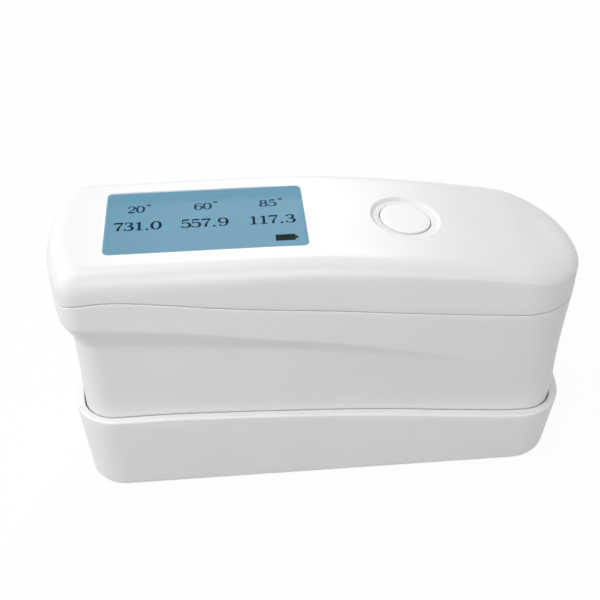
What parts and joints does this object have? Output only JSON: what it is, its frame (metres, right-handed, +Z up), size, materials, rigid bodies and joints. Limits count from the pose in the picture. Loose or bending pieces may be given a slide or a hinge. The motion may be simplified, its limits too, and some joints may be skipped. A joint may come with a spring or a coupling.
{
  "type": "gloss meter",
  "caption": "Handheld three-angle gloss meter with an LCD and a round push button, standing in its white calibration base.",
  "frame": {"origin": "bottom centre of the bounding box, on the surface that the calibration base stands on", "axes": "+X along the length towards the nose with the button, +Y across to the back, +Z up"},
  "size_m": [0.16, 0.05, 0.0899],
  "materials": {
    "white_plastic": "smooth white, semi-gloss",
    "key_plastic": "smooth white, semi-gloss",
    "window_clear": "clear, polished",
    "lcd_blue": "blue field with dark digits",
    "diffuser_white": "milky",
    "black_glass": "polished black glass",
    "black_plastic": "fine matt",
    "board_green": "solder mask",
    "steel": "bright zinc",
    "silver": "satin",
    "black_anodised": "black anodised",
    "battery_wrap": "shrink wrap",
    "frame_grey": "moulded",
    "lens_glass": "polished"
  },
  "bodies": {
    "meter_in_base": {"amplifier_chip": "black_plastic", "battery": "battery_wrap", "battery_connector": "diffuser_white", "board_screw_back": "steel", "board_screw_front": "steel", "bottom_plate": "black_anodised", "buzzer": "black_plastic", "calibration_base": "white_plastic", "calibration_tile": "black_glass", "case_screw_nose_back": "steel", "case_screw_nose_front": "steel", "case_screw_rear_back": "steel", "case_screw_rear_front": "steel", "detector_20": "silver", "detector_60": "silver", "detector_85": "silver", "display_window": "window_clear", "frame_screw_back": "steel", "frame_screw_front": "steel", "inner_frame": "frame_grey", "key_switch": "steel", "lcd_backlight": "diffuser_white", "lcd_panel": "lcd_blue", "led_20": "lens_glass", "led_60": "lens_glass", "led_85": "lens_glass", "lens_receiver_20": "lens_glass", "lens_receiver_60": "lens_glass", "lens_receiver_85": "lens_glass", "lens_source_20": "lens_glass", "lens_source_60": "lens_glass", "lens_source_85": "lens_glass", "lower_case": "white_plastic", "main_board": "board_green", "optical_block": "black_anodised", "plate_screw_nose_back": "steel", "plate_screw_nose_front": "steel", "plate_screw_rear_back": "steel", "plate_screw_rear_front": "steel", "processor_chip": "black_plastic", "sensor_board": "board_green", "sensor_screw_back": "steel", "sensor_screw_front": "steel", "top_cover": "white_plastic", "usb_socket": "silver"},
    "button": {"button_cap": "key_plastic", "switch_plunger": "black_plastic"}
  },
  "joints": [
    {"name": "button_press", "type": "slide", "parent": "meter_in_base", "child": "button", "axis": [-0.1238, 0, -0.9923], "range_m": [0, 0.0005], "stiffness_N_per_m": 1500, "springref_m": -0.001}
  ]
}
